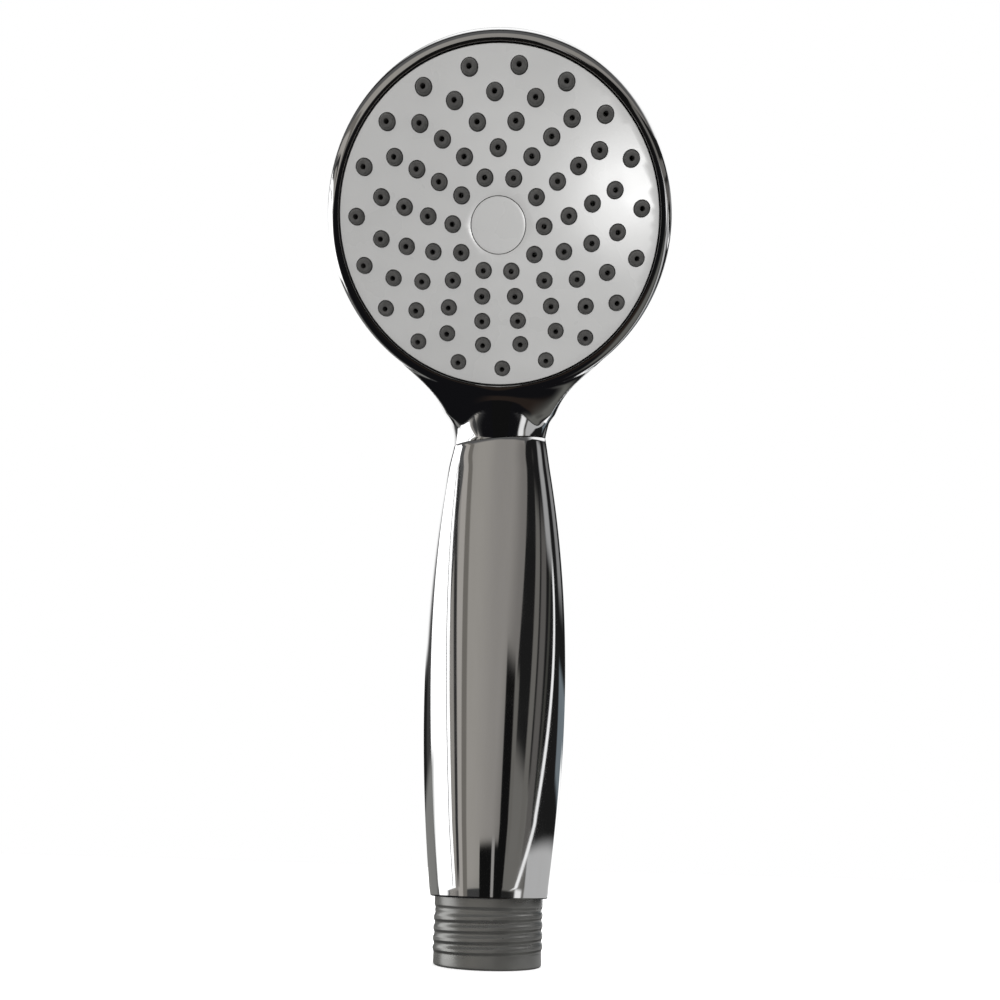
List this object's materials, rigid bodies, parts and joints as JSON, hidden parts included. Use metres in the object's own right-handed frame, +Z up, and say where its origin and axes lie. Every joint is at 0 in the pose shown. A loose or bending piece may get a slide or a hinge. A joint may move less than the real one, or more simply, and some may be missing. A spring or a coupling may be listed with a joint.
{
  "type": "handheld shower head",
  "caption": "Handheld shower head with a chromed barrel handle, a round chromed head, a grey face of soft nozzles and a threaded hose inlet.",
  "frame": {"origin": "centre of the inlet's end face, where the hose washer seats", "axes": "+Z up the inlet thread into the handle; -Y is the side the spray face looks to; X across"},
  "size_m": [0.0654, 0.0833, 0.1611],
  "materials": {
    "chrome": "bright plated, mirror smooth",
    "face_grey": "light silver-grey moulded plastic with a soft satin gloss",
    "silicone": "soft matt dark grey silicone",
    "inlet_grey": "satin mid-grey moulded plastic",
    "inner_plastic": "off-white moulded plastic",
    "dark_plastic": "dark moulded plastic",
    "rubber": "matt black rubber",
    "steel": "stainless steel",
    "brass": "turned brass"
  },
  "bodies": {
    "handset": {"handle_sleeve": "chrome", "inlet_spigot": "inlet_grey", "spigot_seal": "rubber", "inlet_strainer": "dark_plastic", "flow_limiter": "inner_plastic", "water_tube": "inner_plastic", "tube_seal_lower": "rubber", "tube_seal_upper": "rubber", "neck_coupler": "dark_plastic", "neck_snap_ring": "steel", "head_shell": "chrome", "head_core": "inner_plastic", "screw_insert": "brass", "chamber_seal": "rubber"},
    "face": {"distributor_plate": "inner_plastic", "nozzle_mat": "silicone", "face_plate": "face_grey", "screw_seal": "rubber"},
    "screw": {"centre_screw": "steel"},
    "cap": {"screw_cap": "face_grey"}
  },
  "joints": [
    {"name": "face_lift", "type": "slide", "parent": "handset", "child": "face", "axis": [0, -0.7455, -0.6665], "range_m": [0, 0.02]},
    {"name": "screw_turn", "type": "hinge", "parent": "face", "child": "screw", "pos_m": [0, -0.04875, 0.1312], "axis": [0, -0.7455, -0.6665], "continuous": true},
    {"name": "cap_pull", "type": "slide", "parent": "face", "child": "cap", "axis": [0, -0.7455, -0.6665], "range_m": [0, 0.01]}
  ]
}
